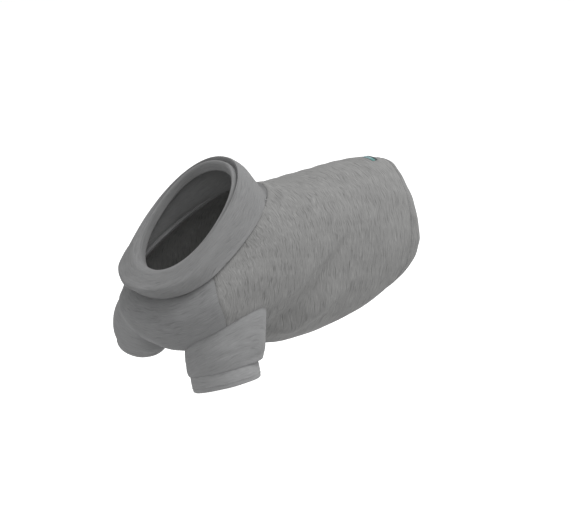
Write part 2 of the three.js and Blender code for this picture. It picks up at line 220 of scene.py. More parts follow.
def length(name, description, value, least):
    return bpy.props.FloatProperty(
        name=name, description=description, default=value, min=least, unit="LENGTH", subtype="DISTANCE")


def factor(name, description, value):
    return bpy.props.FloatProperty(
        name=name, description=description, default=value, min=0, max=1, subtype="FACTOR")


def colour(name, description, value):
    return bpy.props.FloatVectorProperty(
        name=name, description=description, default=value, size=3, min=0, max=1, subtype="COLOR")


class HoodieSizes(bpy.types.PropertyGroup):
    """Sizes of the garment."""

    back_length: length("Back length", "Neck seam to hem, along the back", 0.336, 0.1)
    chest_depth: length("Chest depth", "Back line down to the brisket", 0.290, 0.1)
    chest_width: length("Chest width", "Widest place, behind the shoulders", 0.238, 0.1)
    wall: length("Cloth", "Thickness of the brushed fleece", 0.0026, 0.0005)
    hood_back: length("Hood behind", "Rise of the hood behind the neck", 0.092, 0.01)
    hood_front: length("Hood in front", "Rise of the hood under the throat", 0.036, 0.01)
    sleeve_left: length("Left cuff", "Length of the left cuff's opening, front to back", 0.124, 0.03)
    sleeve_right: length("Right cuff", "Length of the right cuff's opening, front to back", 0.097, 0.03)
    sleeve_ease: length("Sleeve ease", "How far a sleeve stands out all round", 0.006, 0)
    sleeve_puff: length("Sleeve fullness", "How far more the right sleeve's front stands out", 0.013, 0)
    cuff_height: length("Cuff height", "Height of a cuff's band", 0.027, 0.005)
    cuff_wall: length("Cuff cloth", "Thickness of the cuff's doubled cloth", 0.003, 0.001)
    hem_height: length("Hem", "Height of the turned hem", 0.021, 0.005)
    stitch_length: length("Stitch", "Length of one stitch", 0.0028, 0.001)
    label_length: length("Label length", "Length of the plain tab on the back", 0.024, 0.01)
    label_width: length("Label width", "Width of the plain tab on the back", 0.014, 0.005)


class HoodieColours(bpy.types.PropertyGroup):
    """Colours and surface of the cloth, as linear values."""

    body: colour("Body", "Ground colour of the back panel", (0.29, 0.289, 0.285))
    chest: colour("Chest", "Ground colour of the chest panel", (0.265, 0.267, 0.27))
    hood: colour("Hood", "Ground colour of the hood", (0.272, 0.273, 0.275))
    sleeve: colour("Sleeves", "Ground colour of the sleeves", (0.32, 0.322, 0.325))
    cuff: colour("Cuffs", "Ground colour of the cuffs", (0.35, 0.352, 0.355))
    label: colour("Label", "Colour of the plain tab", (0.34, 0.52, 0.54))
    thread: colour("Thread", "Colour of the sewing thread", (0.24, 0.242, 0.245))
    dark_fibre: factor("Dark fibres", "How much darker the dark streaks are", 0.24)
    light_fibre: factor("Light fibres", "How much lighter the light streaks are", 0.2)
    nap: factor("Nap", "Strength of the brushed surface's relief", 0.35)


def sizes():
    return bpy.context.scene.hoodie_sizes


def colours():
    return bpy.context.scene.hoodie_colours


# ---------------------------------------------------------------- forms

def hermite(start, start_slope, end, end_slope, x):
    """A cubic from one value and slope to another."""
    rise = x * x * (3 - 2 * x)
    return start * (1 - rise) + end * rise + start_slope * x * (1 - x) ** 2 - end_slope * x * x * (1 - x)


def along(rows, column, at):
    """A smooth run through one column of a table, at a share of the way."""
    xs = np.array([row["at"] for row in rows], float)
    ys = np.array([row[column] for row in rows], float)
    last = len(xs) - 1
    before, after = np.maximum(np.arange(last + 1) - 1, 0), np.minimum(np.arange(last + 1) + 1, last)
    slopes = (ys[after] - ys[before]) / (xs[after] - xs[before])
    i = np.clip(np.searchsorted(xs, at, side="left") - 1, 0, last - 1)
    span = xs[i + 1] - xs[i]
    return hermite(ys[i], slopes[i] * span, ys[i + 1], slopes[i + 1] * span, (at - xs[i]) / span)


def unit(v):
    """Directions of length 1."""
    return v / np.maximum(np.linalg.norm(v, axis=-1, keepdims=True), 1e-12)


def stack(x, y, z):
    """Points from their three numbers."""
    return np.stack(np.broadcast_arrays(x, y, z), axis=-1).astype(float)


def smooth(low, high, x):
    """A soft step from 0 at low to 1 at high."""
    t = np.clip((x - low) / (high - low), 0, 1)
    return t * t * (3 - 2 * t)


def between(x, start, whole, going, gone):
    """A soft step up and a soft step down again."""
    return smooth(start, whole, x) * (1 - smooth(going, gone, x))


def groove(off, depth, width):
    """The depth of a soft groove at distances from its middle."""
    return depth * np.exp(-((off / width) ** 2))


def on_ring(top, low, half, mid, full, angle):
    """Points of an oval ring that leans in the plane of the spine."""
    c, s = np.cos(angle), np.sin(angle)
    across = np.sign(s) * np.abs(s) ** (2 / full)
    down = np.sign(c) * np.abs(c) ** (2 / full) * np.where(c > 0, mid, 1 - mid)
    p = top + (low - top) * np.asarray(mid)[..., None] + (top - low) * np.asarray(down)[..., None]
    p[..., 0] += half * across
    return p


def valleys(rows, u, v, u_name, v_name, u_scale, v_scale, size):
    """The depth of a table of soft lines at places u, v."""
    total = np.zeros(np.broadcast(u, v).shape)
    for row in rows:
        line = np.array([
            (row["to_" + u_name] - row[u_name]) * u_scale, (row["to_" + v_name] - row[v_name]) * v_scale])
        x, y = (u - row[u_name]) * u_scale, (v - row[v_name]) * v_scale
        share = np.clip((x * line[0] + y * line[1]) / (line @ line), 0, 1)
        away = np.hypot(x - line[0] * share, y - line[1] * share) / (row["width"] * size)
        total = total + row["depth"] * (1 - share**3) * np.exp(-away * away)
    return total


def swell(u, v, seed):
    """Soft uneven waves over a cloth, about 1 high, from places in metres."""
    rng = np.random.default_rng(seed)
    total = np.zeros(np.broadcast(u, v).shape)
    for _ in range(9):
        reach, turn, shift = rng.uniform(0.028, 0.09), rng.uniform(0, math.pi), rng.uniform(0, 6.28)
        total = total + np.sin((u * math.cos(turn) + v * math.sin(turn)) * 2 * math.pi / reach + shift)
    return total / 4


def waves(span, share, turn, seed):
    """Soft waves on a piece, from the share of the way along it and the degrees round it."""
    return swell(share * span[0], turn * span[1], seed)


def facing(surface, u, v, step):
    """The direction of a surface's cross product, by small steps on it."""
    return unit(np.cross(surface(u, v + step) - surface(u, v - step), surface(u + step, v) - surface(u - step, v)))


class Garment:
    """The forms of the hoodie, worked out from its sizes."""

    def __init__(self, sizes):
        self.s = sizes

    # Body: at is the share from neck seam to hem, angle the turn from the top in radians
    def body_plain(self, at, angle):
        s = self.s
        at, angle = np.broadcast_arrays(np.asarray(at, float), np.asarray(angle, float))
        get = lambda column: along(BODY, column, at)
        top = stack(0 * at, get("top_y") * s.back_length, s.wall + get("top_z") * s.chest_depth)
        low = stack(0 * at, get("low_y") * s.back_length, s.wall + get("low_z") * s.chest_depth)
        p = on_ring(top, low, get("half") * s.chest_width / 2, get("mid"), get("full"), angle)
        p[..., 1] -= get("arch") * s.back_length * np.sin(2 * angle) ** 2
        middle = top + (low - top) * get("mid")[..., None]
        return p + unit(middle - p) * self.lines(FOLDS, at, angle / DEGREE)[..., None]

    def lines(self, rows, at, turn):
        """The depth in metres of a table of lines on the body."""
        width = self.s.chest_width
        return valleys(rows, at, turn, "at", "turn", self.s.back_length, self.degree_round(), width) * width

    def degree_round(self):
        """How far a degree is round the body, about."""
        return self.s.chest_width / 2 * DEGREE

    def body_facing(self, at, angle):
        step = 0.004
        return facing(self.body_plain, np.clip(at, step, 1 - step), np.asarray(angle, float), step)

    def seam_turn(self, at):
        return along(SIDE_SEAM, "turn", at)

    def hole_distance(self, at, angle, cuff):
        """How far a place is from an armhole's edge, below nought inside it."""
        s = self.s
        turn = angle / DEGREE
        turn = turn if cuff["side"] > 0 else 360 - turn
        x, y = (at - cuff["at"]) / cuff["long"], (turn - cuff["turn"]) / ARMHOLE_ROUND
        e = np.maximum(np.hypot(x, y), 1e-6)
        reach = np.hypot(x * cuff["long"] * s.back_length, y * ARMHOLE_ROUND * self.degree_round()) / e
        return (e - 1) * reach

    def body(self, at, angle):
        """The outside of the body with its creases, seams and turned hem."""
        s = self.s
        at, angle = np.broadcast_arrays(np.asarray(at, float), np.asarray(angle, float))
        turn = angle / DEGREE
        sunk = self.lines(CREASES, at, turn)
        seam = self.seam_turn(at)
        for side in (seam, 360 - seam):
            off = np.abs((turn - side) * self.degree_round() * SIDE_REACH)
            sunk = sunk + groove(off, *SIDE_GROOVE) - groove(off - SIDE_BESIDE, *SIDE_RISE)
        for cuff in (LEFT, RIGHT):
            off = self.hole_distance(at, angle, cuff)
            sunk = sunk + groove(off, *ARMHOLE_GROOVE) - groove(off - ARMHOLE_BESIDE, *ARMHOLE_RISE)
        neck, hem = at * s.back_length, (1 - at) * s.back_length  # distances to the neck seam and the hem
        sunk = sunk + groove(neck, *NECK_TUCK) * smooth(*NECK_TUCK_TURNS, np.minimum(turn, 360 - turn))
        sunk = sunk - HEM_RISE * smooth(s.hem_height + 0.001, s.hem_height - 0.0015, hem)
        sunk = sunk + groove(hem - s.hem_height, *HEM_GROOVE)
        sunk = sunk + groove(hem, *HEM_EDGE)
        sunk = sunk + BODY_WAVE * swell(neck, turn * self.degree_round(), 11) * smooth(0, 0.05, at)
        return self.body_plain(at, angle) - self.body_facing(at, angle) * sunk[..., None]

    # Sleeves: share is the way from armhole to cuff seam, angle the turn from the rear in radians
    def hole(self, cuff, angle):
        """Places on the body round an armhole."""
        turn = (cuff["turn"] - ARMHOLE_ROUND * np.sin(angle)) * DEGREE
        return cuff["at"] + cuff["long"] * np.cos(angle), turn if cuff["side"] > 0 else 2 * math.pi - turn

    def cuff_ring(self, cuff, angle, grow, drop):
        """Points round a cuff, this far outside its opening and below its seam."""
        s = self.s
        size = s.sleeve_left if cuff["side"] > 0 else s.sleeve_right
        side = cuff["side"]
        slope = unit(np.array([-cuff["outer"] * side, -cuff["rear"], 1.0]))
        middle = np.array([
            side * cuff["x"] * s.chest_width / 2, cuff["y"] * s.back_length, cuff["z"] * s.chest_depth])
        x = side * (size * cuff["narrow"] / 2 + grow) * np.sin(angle)
        y = (size / 2 + grow) * np.cos(angle)
        return middle + stack(x, y, x * side * cuff["outer"] + y * cuff["rear"]) - slope * np.asarray(drop)[..., None]

    def sleeve_form(self, cuff, share, angle):
        """The outside of a sleeve before its wrinkles."""
        s = self.s
        share, angle = np.broadcast_arrays(np.asarray(share, float), np.asarray(angle, float))
        p = self.body_plain(*self.hole(cuff, angle))
        q = self.cuff_ring(cuff, angle, 0.0, 0.0)
        run = q - p
        level = stack(cuff["side"] * np.sin(angle), np.cos(angle), 0 * angle)
        front = np.maximum(0, -np.cos(angle)) * np.maximum(0, 0.4 + np.sin(angle))
        most = np.linalg.norm(run, axis=-1) / 5
        bulge = np.minimum(s.sleeve_ease + front * cuff["puff"] * s.sleeve_puff, most)[..., None]
        p = hermite(p, run + level * 3 * bulge, q, run - level * 3 * bulge, share[..., None])
        over = cuff["overhang"] + cuff["rear_over"] * np.maximum(0, np.cos(angle)) ** 2
        p = p + level * (over * between(share, *OVERHANG))[..., None]
        p[..., 2] -= cuff["droop"] * between(share, *DROOP)
        return p

    def sleeve_facing(self, cuff, share, angle):
        step = 0.006
        n = facing(lambda u, v: self.sleeve_form(cuff, u, v), np.clip(share, step, 1 - step), angle, step)
        return n * cuff["side"]

    def sleeve(self, cuff, share, angle):
        """The outside of a sleeve with its wrinkles and waves."""
        share, angle = np.broadcast_arrays(np.asarray(share, float), np.asarray(angle, float))
        turn = np.mod(angle / DEGREE, 360)
        out = self.sleeve_facing(cuff, share, angle)
        sunk = valleys(SLEEVE_CREASES, share, turn, "share", "turn", 1.0, 1 / 90, 1.0)
        sunk = sunk + WAVE * waves(SLEEVE_SPAN, share, turn, 5 + cuff["side"]) * between(share, *SLEEVE_WAVES)
        p = self.sleeve_form(cuff, share, angle) - out * sunk[..., None]
        # The first rings roll into the armhole seam
        at, around = self.hole(cuff, angle)
        normal = self.body_facing(at, around)
        sink = self.s.wall * (1 - np.maximum(0, (self.sleeve_facing(cuff, 0.0, angle) * normal).sum(-1)))
        return p - normal * ((sink + ARMHOLE_SINK) * (1 - smooth(0, ROLLED_IN, share)))[..., None]

    # Hood: at is the share from neck seam to the edge inside, angle the turn from the top
    def hood_form(self, at, angle):
        """The outside of the hood before its creases."""
        s = self.s
        at, angle = np.broadcast_arrays(np.asarray(at, float), np.asarray(angle, float))
        get = lambda column: along(HOOD, column, at)
        top = np.array([0, 0, s.wall])
        low = np.array([0, BODY[0]["low_y"] * s.back_length, s.wall + BODY[0]["low_z"] * s.chest_depth])
        down = unit(low - top)
        up = np.array([0, down[2], -down[1]])
        inwards = lambda column, rise: down * (get(column) * rise)[..., None]
        upwards = lambda column, rise: up * (GAP + get(column) * rise)[..., None]
        top = top + inwards("back_in", s.hood_back) + upwards("back_up", s.hood_back)
        low = low - inwards("low_in", s.hood_front) + upwards("low_up", s.hood_front)
        half = get("half") * BODY[0]["half"] * s.chest_width / 2
        return on_ring(top, low, half, get("mid"), get("full"), angle)

    def hood_facing(self, at, angle):
        step = 0.006
        return -facing(self.hood_form, np.clip(at, step, 1 - step), np.asarray(angle, float), step)

    def hood(self, at, angle):
        """The outside of the hood with its creases and waves."""
        at, angle = np.broadcast_arrays(np.asarray(at, float), np.asarray(angle, float))
        turn = np.mod(angle / DEGREE, 360)
        sunk = valleys(HOOD_CREASES, at, turn, "at", "turn", 1.0, 1 / 180, 1.0)
        sunk = sunk + WAVE * waves(HOOD_SPAN, at, turn, 3) * between(at, *HOOD_WAVES)
        return self.hood_form(at, angle) - self.hood_facing(at, angle) * sunk[..., None]

    def on_label(self, lengthwise, across):
        """Places on the back below the label, from -1 to 1 along and across it."""
        s = self.s
        at = LABEL_AT + across * (s.label_width / 2 / s.back_length)
        return at, LABEL_TURN * DEGREE + lengthwise * (s.label_length / s.chest_width)


# ---------------------------------------------------------------- meshes

def nothing_selected():
    """Leaves edit mode and deselects everything."""
    if bpy.context.object and bpy.context.object.mode != "OBJECT":
        bpy.ops.object.mode_set(mode="OBJECT")
    bpy.ops.object.select_all(action="DESELECT")


def only(obj):
    """Selects one object alone and makes it the active one."""
    nothing_selected()
    obj.select_set(True)
    bpy.context.view_layer.objects.active = obj


def new_object(name, points, faces, face_uvs=None):
    """A mesh object at the origin, its faces turned outwards."""
    mesh = bpy.data.meshes.new(name)
    mesh.from_pydata(np.asarray(points).reshape(-1, 3).tolist(), [], faces)
    if face_uvs is not None:
        layer = mesh.uv_layers.new(name="Cloth")
        layer.data.foreach_set("uv", np.concatenate([np.asarray(uv, np.float32).reshape(-1) for uv in face_uvs]))
    shape = bmesh.new()
    shape.from_mesh(mesh)
    bmesh.ops.recalc_face_normals(shape, faces=shape.faces)
    shape.to_mesh(mesh)
    shape.free()
    mesh.update()
    obj = bpy.data.objects.new(name, mesh)
    bpy.context.scene.collection.objects.link(obj)
    only(obj)
    bpy.ops.object.shade_smooth_by_angle(angle=CRISP)
    return obj


def cloth_map(grid, closed):
    """Distances in metres along the rows and round the columns of a grid, as a map for the weave."""
    first = np.linalg.norm(np.diff(grid, axis=0), axis=-1)
    u = np.vstack([np.zeros((1, grid.shape[1])), np.cumsum(first, axis=0)])
    ring = np.concatenate([grid, grid[:, :1]], axis=1) if closed else grid
    second = np.linalg.norm(np.diff(ring, axis=1), axis=-1)
    v = np.hstack([np.zeros((grid.shape[0], 1)), np.cumsum(second, axis=1)])
    u = np.hstack([u, u[:, :1]]) if closed else u
    return np.stack([u, v], axis=-1)


def shell(name, outer, inner, uv, closed):
    """A cloth with thickness from an outer and an inner grid, its two ends rounded."""
    def end(row, before, other):
        reach = unit(row - before) * np.linalg.norm(other - row, axis=-1, keepdims=True) * 0.45
        return (row + other) / 2 + reach

    count, columns = outer.shape[:2]
    rows = [end(outer[0], outer[1], inner[0]), *outer, end(outer[-1], outer[-2], inner[-1]), *inner[::-1]]
    maps = [uv[0], *uv, uv[-1], *uv[::-1]]
    points, total = np.array(rows), len(rows)
    at = lambda i, j: (i % total) * columns + (j % columns)
    faces, face_uvs = [], []
    for i in range(total):
        here, there = maps[i], maps[(i + 1) % total]
        for j in range(columns if closed else columns - 1):
            faces.append((at(i, j), at(i, j + 1), at(i + 1, j + 1), at(i + 1, j)))
            face_uvs.append((here[j], here[j + 1], there[j + 1], there[j]))
    if not closed:
        for j in (0, columns - 1):
            loop = lambda k: total - k if k else 0  # the row behind row k
            faces += [(at(0, j), at(1, j), at(total - 1, j)), (at(count, j), at(count + 1, j), at(count + 2, j))]
            face_uvs += [(uv[0][j],) * 3, (uv[-1][j],) * 3]
            for k in range(1, count):
                faces.append((at(k, j), at(k + 1, j), at(loop(k + 1), j), at(loop(k), j)))
                face_uvs.append((maps[k][j], maps[k + 1][j], maps[k + 1][j], maps[k][j]))
    return new_object(name, points, faces, face_uvs)


def worn(obj, node, material):
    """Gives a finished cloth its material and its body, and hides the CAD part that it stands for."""
    obj.data.materials.clear()
    obj.data.materials.append(material)
    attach(obj, "root")
    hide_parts(node)


# ---------------------------------------------------------------- materials

def link(tree, a, b):
    tree.links.new(a, b)


def filled(node, **values):
    """Puts values in a node's inputs, by their names with _ for a space."""
    for name, value in values.items():
        node.inputs[name.replace("_", " ")].default_value = value
    return node


def new_material(name):
    """A material, its node tree and its surface shader."""
    material = bpy.data.materials.new(name)
    material.use_nodes = True
    return material, material.node_tree, material.node_tree.nodes["Principled BSDF"]


def cloth_place(tree):
    """A piece's own map, in metres."""
    uv = tree.nodes.new("ShaderNodeUVMap")
    uv.uv_map = "Cloth"
    return uv.outputs[0]


def relief(tree, shader, height, strength, distance):
    """Gives a surface its fine relief."""
    bump = filled(tree.nodes.new("ShaderNodeBump"), Strength=strength, Distance=distance)
    link(tree, height, bump.inputs["Height"])
    link(tree, bump.outputs[0], shader.inputs["Normal"])


def math_node(tree, operation, a, b):
    """One sum of two numbers or outputs."""
    node = tree.nodes.new("ShaderNodeMath")
    node.operation = operation
    for socket, value in zip(node.inputs, (a, b)):
        if isinstance(value, (int, float)):
            socket.default_value = value
        else:
            link(tree, value, socket)
    return node.outputs[0]


def stretched_noise(tree, vector, scale, detail, shift):
    """Noise drawn out by a different scale along each direction of the cloth."""
    mapping = filled(tree.nodes.new("ShaderNodeMapping"), Scale=scale, Location=shift)
    link(tree, vector, mapping.inputs["Vector"])
    noise = filled(tree.nodes.new("ShaderNodeTexNoise"), Scale=1, Detail=detail, Roughness=0.55)
    link(tree, mapping.outputs[0], noise.inputs["Vector"])
    return noise.outputs["Fac"]


def mask(tree, value, low, high):
    """A soft step from 0 at low to 1 at high."""
    node = filled(tree.nodes.new("ShaderNodeMapRange"), From_Min=low, From_Max=high)
    node.interpolation_type = "SMOOTHSTEP"
    link(tree, value, node.inputs["Value"])
    return node.outputs["Result"]


def heather_group():
    """Heather fleece: a ground colour with drawn-out dark and light fibres, and the relief of its nap."""
    found = bpy.data.node_groups.get("heather_fleece")
    if found:
        return found
    tree = bpy.data.node_groups.new("heather_fleece", "ShaderNodeTree")
    face = tree.interface
    face.new_socket("Vector", in_out="INPUT", socket_type="NodeSocketVector")
    face.new_socket("Ground", in_out="INPUT", socket_type="NodeSocketColor")
    for name in ("Dark Fibres", "Light Fibres", "Mottle"):
        face.new_socket(name, in_out="INPUT", socket_type="NodeSocketFloat")
    face.new_socket("Color", in_out="OUTPUT", socket_type="NodeSocketColor")
    face.new_socket("Height", in_out="OUTPUT", socket_type="NodeSocketFloat")
    face.new_socket("Roughness", in_out="OUTPUT", socket_type="NodeSocketFloat")
    source, sink = tree.nodes.new("NodeGroupInput"), tree.nodes.new("NodeGroupOutput")
    # The fibres wander a little
    drift = filled(tree.nodes.new("ShaderNodeTexNoise"), Scale=38, Detail=1)
    link(tree, source.outputs["Vector"], drift.inputs["Vector"])
    centre = tree.nodes.new("ShaderNodeVectorMath")
    centre.operation = "MULTIPLY_ADD"
    centre.inputs[1].default_value = (0.009, 0.009, 0)
    link(tree, drift.outputs["Color"], centre.inputs[0])
    link(tree, source.outputs["Vector"], centre.inputs[2])
    cloth = centre.outputs[0]
    wide = stretched_noise(tree, cloth, (360, 30, 1), 2.0, (3.1, 1.7, 0))
    fine = stretched_noise(tree, cloth, (850, 75, 1), 1.5, (11.3, 5.9, 2))
    pale = stretched_noise(tree, cloth, (470, 42, 1), 2.0, (27.7, 19.1, 4))
    broad = stretched_noise(tree, cloth, (26, 17, 1), 2.0, (7.3, 3.3, 6))
    fuzz = stretched_noise(tree, cloth, (2600, 1900, 1), 2.0, (1.3, 8.2, 8))
    times = lambda x, y: math_node(tree, "MULTIPLY", x, y)
    plus = lambda x, y: math_node(tree, "ADD", x, y)
    minus = lambda x, y: math_node(tree, "SUBTRACT", x, y)
    dark = times(mask(tree, wide, 0.5, 0.25), source.outputs["Dark Fibres"])
    dark_fine = times(mask(tree, fine, 0.52, 0.26), source.outputs["Dark Fibres"])
    light = times(mask(tree, pale, 0.5, 0.76), source.outputs["Light Fibres"])
    tone = plus(minus(minus(1.0, dark), times(dark_fine, 0.55)), light)
    tone = plus(tone, times(minus(broad, 0.5), source.outputs["Mottle"]))
    tone = plus(tone, times(minus(fuzz, 0.5), 0.3))
    paint = tree.nodes.new("ShaderNodeVectorMath")
    paint.operation = "SCALE"
    link(tree, source.outputs["Ground"], paint.inputs[0])
    link(tree, tone, paint.inputs["Scale"])
    link(tree, paint.outputs[0], sink.inputs["Color"])
    link(tree, plus(plus(times(fuzz, 0.6), times(wide, 0.5)), times(fine, 0.4)), sink.inputs["Height"])
    link(tree, plus(0.9, times(fuzz, 0.12)), sink.inputs["Roughness"])
    return tree


def cloth_material(name, ground, contrast=0.75, mottle=0.16):
    """Brushed heather cloth on a piece's own map. contrast scales how much its fibres show."""
    material, tree, shader = new_material(name)
    weave = tree.nodes.new("ShaderNodeGroup")
    weave.node_tree = heather_group()
    filled(weave, Ground=(*ground, 1), Mottle=mottle, Dark_Fibres=colours().dark_fibre * contrast,
           Light_Fibres=colours().light_fibre * contrast)
    link(tree, cloth_place(tree), weave.inputs["Vector"])
    link(tree, weave.outputs["Color"], shader.inputs["Base Color"])
    link(tree, weave.outputs["Roughness"], shader.inputs["Roughness"])
    relief(tree, shader, weave.outputs["Height"], colours().nap, 0.0007)
    filled(shader, Specular_IOR_Level=0.15, Sheen_Weight=0.12, Sheen_Roughness=0.6)
    return material


def tape_material():
    """Plain woven tape, bare, with painted shade on its half towards the hem, where a folded edge would lie in
    shadow.
    """
    base = np.array(colours().label)
    material, tree, shader = new_material("label_tape")
    uv = cloth_place(tree)
    rib = stretched_noise(tree, uv, (1800, 500, 1), 2, (2, 5, 0))
    place = tree.nodes.new("ShaderNodeSeparateXYZ")
    link(tree, uv, place.inputs[0])
    # Painted shade: from the middle of its width towards the hem the tape is painted near black, as a folded edge in
    # shadow
    painted_shade = mask(tree, place.outputs["X"], sizes().label_width * 0.45, sizes().label_width * 0.55)
    end = mask(tree, place.outputs["Y"], sizes().label_length * 0.72, sizes().label_length * 0.9)
    paint = None
    # The end gets a paler tint, then the half towards the hem gets the painted shade at 0.12 of the tape's colour
    for share, colour_there in ((end, base * (0.5, 0.78, 0.7)), (painted_shade, base * 0.12)):
        layer = tree.nodes.new("ShaderNodeMix")
        layer.data_type = "RGBA"
        filled(layer, A=(*base, 1), B=(*colour_there, 1))
        link(tree, share, layer.inputs["Factor"])
        if paint:
            link(tree, paint, layer.inputs["A"])
        paint = layer.outputs["Result"]
    link(tree, paint, shader.inputs["Base Color"])
    relief(tree, shader, rib, 0.3, 0.0003)
    filled(shader, Roughness=0.62, Specular_IOR_Level=0.3)
    return material


def thread_material():
    """Matt sewing thread, twisted."""
    material, tree, shader = new_material("sewing_thread")
    place = tree.nodes.new("ShaderNodeTexCoord")
    twist = stretched_noise(tree, place.outputs["Object"], (900, 900, 900), 1, (0, 0, 0))
    ramp = tree.nodes.new("ShaderNodeValToRGB")
    base = np.array(colours().thread)
    for stop, position, bright in zip(ramp.color_ramp.elements, (0.3, 0.7), (0.8, 1.15)):
        stop.position, stop.color = position, (*(base * bright), 1)
    link(tree, twist, ramp.inputs[0])
    link(tree, ramp.outputs[0], shader.inputs["Base Color"])
    filled(shader, Roughness=0.8)
    return material


# ---------------------------------------------------------------- pieces

def full_turn(count):
    """Angles of the columns round a closed piece."""
    return np.arange(count) / count * 2 * math.pi


def runs(*parts):
    """Shares of the way for the rows of a piece, each part with its first, its last and their number."""
    return np.concatenate([np.linspace(*part) for part in parts])[:, None]


def body_panel(name, garment, start_turn, end_turn, rows, columns, upright):
    """A panel of the body between two seams. upright lays the fibres straight down its sides."""
    s = garment.s
    at = np.linspace(0, 1, rows + 1)[:, None]
    start, end = start_turn(at) * DEGREE, end_turn(at) * DEGREE
    degree = np.linalg.norm(garment.body_plain(at, start) - garment.body_plain(at, start + DEGREE), axis=-1)
    trim = SEAM_GAP / (degree / DEGREE)
    angle = start + trim + np.linspace(0, 1, columns + 1)[None] * (end - start - 2 * trim)
    outer = garment.body(at, angle)
    inner = garment.body_plain(at, angle) - garment.body_facing(at, angle) * s.wall
    uv = cloth_map(outer, False)
    if upright:
        middle = uv[:, columns // 2, 1][:, None]
        uv = np.stack([outer[..., 1], uv[..., 1] - middle], axis=-1)
    return shell(name, outer, inner, uv, False)


def armhole_cutter(garment, cuff, columns=120):
    """What is cleared from the body for a sleeve."""
    at, around = garment.hole(cuff, full_turn(columns))
    normal = garment.body_facing(at, around)
    rings = [garment.body_plain(at, around) + normal * off for off in (-0.012, -0.004, 0.004, 0.012)]
    points = np.concatenate([*rings, [rings[0].mean(0)], [rings[-1].mean(0)]])
    faces = []
    last = len(rings) - 1
    for j in range(columns):
        k = (j + 1) % columns
        for i in range(last):
            faces.append((i * columns + j, i * columns + k, (i + 1) * columns + k, (i + 1) * columns + j))
        faces.append((len(points) - 2, k, j))
        faces.append((len(points) - 1, last * columns + j, last * columns + k))
    return new_object("armhole_cutter", points, faces)


def keep_largest(shape):
    """Drops all but the largest connected part of a mesh."""
    parts, seen = [], set()
    for vert in shape.verts:
        if vert in seen:
            continue
        part, queue = [], [vert]
        seen.add(vert)
        while queue:
            here = queue.pop()
            part.append(here)
            for edge in here.link_edges:
                other = edge.other_vert(here)
                if other not in seen:
                    seen.add(other)
                    queue.append(other)
        parts.append(part)
    parts.sort(key=len)
    bmesh.ops.delete(shape, geom=[v for part in parts[:-1] for v in part], context="VERTS")


def cut_armholes(obj, cutters):
    """Opens a panel where the sleeves are set in."""
    for cutter in cutters:
        only(obj)
        cut = obj.modifiers.new("armhole", "BOOLEAN")
        cut.operation, cut.solver, cut.object = "DIFFERENCE", "MANIFOLD", cutter
        bpy.ops.object.modifier_apply(modifier=cut.name)
    shape = bmesh.new()
    shape.from_mesh(obj.data)
    bmesh.ops.remove_doubles(shape, verts=shape.verts, dist=1e-6)
    bmesh.ops.triangulate(shape, faces=[f for f in shape.faces if len(f.verts) > 4])
    keep_largest(shape)
    shape.to_mesh(obj.data)
    shape.free()
    only(obj)
    bpy.ops.object.shade_smooth_by_angle(angle=CRISP)


class HOODIE_OT_body(bpy.types.Operator):
    """Sew the back panel and the chest panel, with their armholes."""

    bl_idname = "hoodie.body"
    bl_label = "Body Panels"

    def execute(self, context):
        garment = Garment(sizes())
        seam = garment.seam_turn
        cutters = [armhole_cutter(garment, cuff) for cuff in (LEFT, RIGHT)]
        back = body_panel("back_panel_fleece", garment, lambda at: -seam(at), seam, 126, 190, True)
        chest = body_panel("chest_panel_fleece", garment, seam, lambda at: 360 - seam(at), 126, 56, False)
        for obj in (back, chest):
            cut_armholes(obj, cutters)
        for cutter in cutters:
            bpy.data.objects.remove(cutter)
        worn(back, "back_panel", cloth_material("fleece_body", colours().body, 1.5, 0.34))
        worn(chest, "chest_panel", cloth_material("fleece_chest", colours().chest))
        return {"FINISHED"}


class HOODIE_OT_hood(bpy.types.Operator):
    """Roll the folded-down hood round the neck seam."""

    bl_idname = "hoodie.hood"
    bl_label = "Hood"

    def execute(self, context):
        garment = Garment(sizes())
        at = runs((0, 0.14, 22), (0.15, 0.68, 40), (0.69, 1, 46))[::-1]
        angle = full_turn(220)[None]
        outer = garment.hood(at, angle)
        inner = garment.hood_form(at, angle) - garment.hood_facing(at, angle) * sizes().wall
        hood = shell("hood_fleece", outer, inner, cloth_map(outer, True), True)
        worn(hood, "hood", cloth_material("fleece_hood", colours().hood))
        return {"FINISHED"}


class HOODIE_OT_sleeves(bpy.types.Operator):
    """Set both sleeves into their armholes, full over the cuffs."""

    bl_idname = "hoodie.sleeves"
    bl_label = "Sleeves"

    def execute(self, context):
        garment = Garment(sizes())
        material = cloth_material("fleece_sleeve", colours().sleeve)
        share = runs((0, 0.06, 10), (0.075, 0.9, 44), (0.91, 1, 20))
        angle = full_turn(150)[None]
        for name, cuff in (("left", LEFT), ("right", RIGHT)):
            outer = garment.sleeve(cuff, share, angle)
            out = garment.sleeve_facing(cuff, share, angle)
            inner = outer - out * sizes().wall
            inner[-1] = garment.cuff_ring(cuff, angle[0], -sizes().wall, 0.0)
            sleeve = shell(f"sleeve_{name}_fleece", outer, inner, cloth_map(outer, True), True)
            worn(sleeve, f"sleeve_{name}", material)
        return {"FINISHED"}


